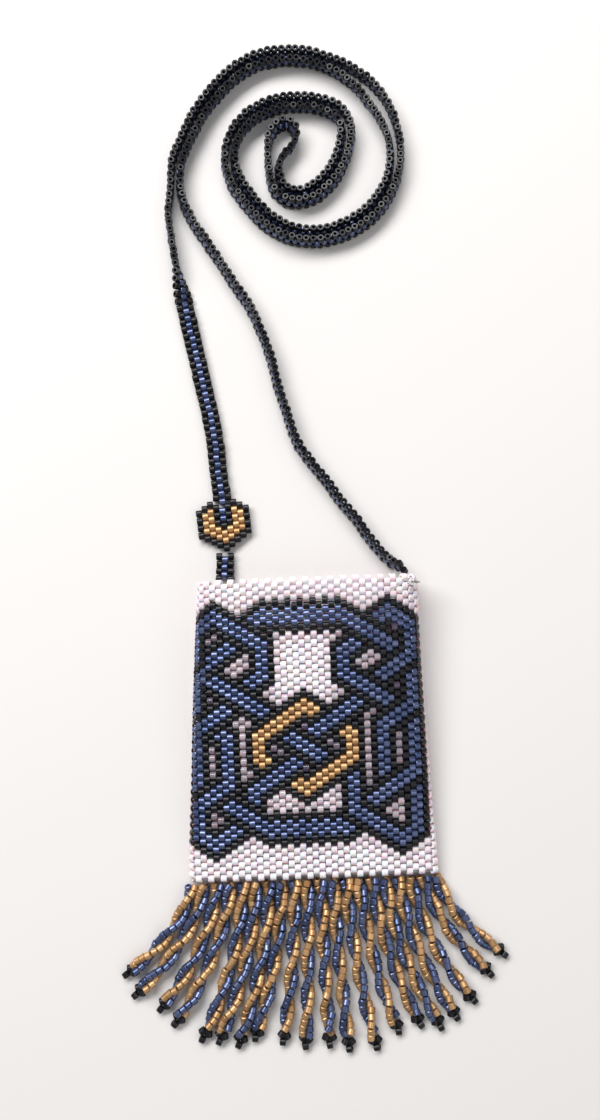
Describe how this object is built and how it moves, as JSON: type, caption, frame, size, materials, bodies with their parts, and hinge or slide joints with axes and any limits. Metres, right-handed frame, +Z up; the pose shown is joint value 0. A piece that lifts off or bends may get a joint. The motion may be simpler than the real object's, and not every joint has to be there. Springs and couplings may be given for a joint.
{
  "type": "beaded medicine bag",
  "caption": "Small flat pouch woven from cylinder beads, open at the top, with a knot pattern, a long beaded strap and a twisted bead fringe.",
  "frame": {"origin": "on the table, under the middle of the bag's length and width; the fringe and the strap are not counted", "axes": "+Z up from the table, +Y from the closed bottom to the open mouth, +X to the right seen from the front"},
  "size_m": [0.0823, 0.2261, 0.012],
  "materials": {
    "pale_beads": "clear glass cylinder beads over a pale pink lining, glossy",
    "black_beads": "opaque black glass cylinder beads, semi gloss",
    "blue_beads": "blue metal-coated glass cylinder beads, glossy",
    "gold_beads": "matt gold-coated glass cylinder beads",
    "fringe_beads": "gold, blue and black cylinder beads strung on nylon thread"
  },
  "bodies": {
    "root": {"bag_wall": "pale_beads", "fringe_leg_01": "fringe_beads", "fringe_leg_02": "fringe_beads", "fringe_leg_03": "fringe_beads", "fringe_leg_04": "fringe_beads", "fringe_leg_05": "fringe_beads", "fringe_leg_06": "fringe_beads", "fringe_leg_07": "fringe_beads", "fringe_leg_08": "fringe_beads", "fringe_leg_09": "fringe_beads", "fringe_leg_10": "fringe_beads", "fringe_leg_11": "fringe_beads", "fringe_leg_12": "fringe_beads", "fringe_leg_13": "fringe_beads", "fringe_leg_14": "fringe_beads", "fringe_leg_15": "fringe_beads", "fringe_leg_16": "fringe_beads", "fringe_leg_17": "fringe_beads", "fringe_leg_18": "fringe_beads", "fringe_leg_19": "fringe_beads", "fringe_leg_20": "fringe_beads", "knot_band_01": "blue_beads", "knot_band_02": "blue_beads", "knot_band_03": "blue_beads", "knot_band_04": "blue_beads", "knot_band_05": "blue_beads", "knot_band_06": "blue_beads", "knot_band_07": "blue_beads", "knot_band_08": "blue_beads", "knot_band_09": "blue_beads", "knot_band_10": "blue_beads", "knot_band_11": "blue_beads", "knot_band_12": "blue_beads", "knot_band_13": "blue_beads", "knot_band_14": "blue_beads", "knot_band_15": "blue_beads", "knot_ground": "black_beads", "knot_loop_1": "gold_beads", "knot_loop_2": "gold_beads", "medallion": "black_beads", "medallion_emblem": "gold_beads", "strap_long": "black_beads", "strap_short": "black_beads"}
  },
  "joints": []
}
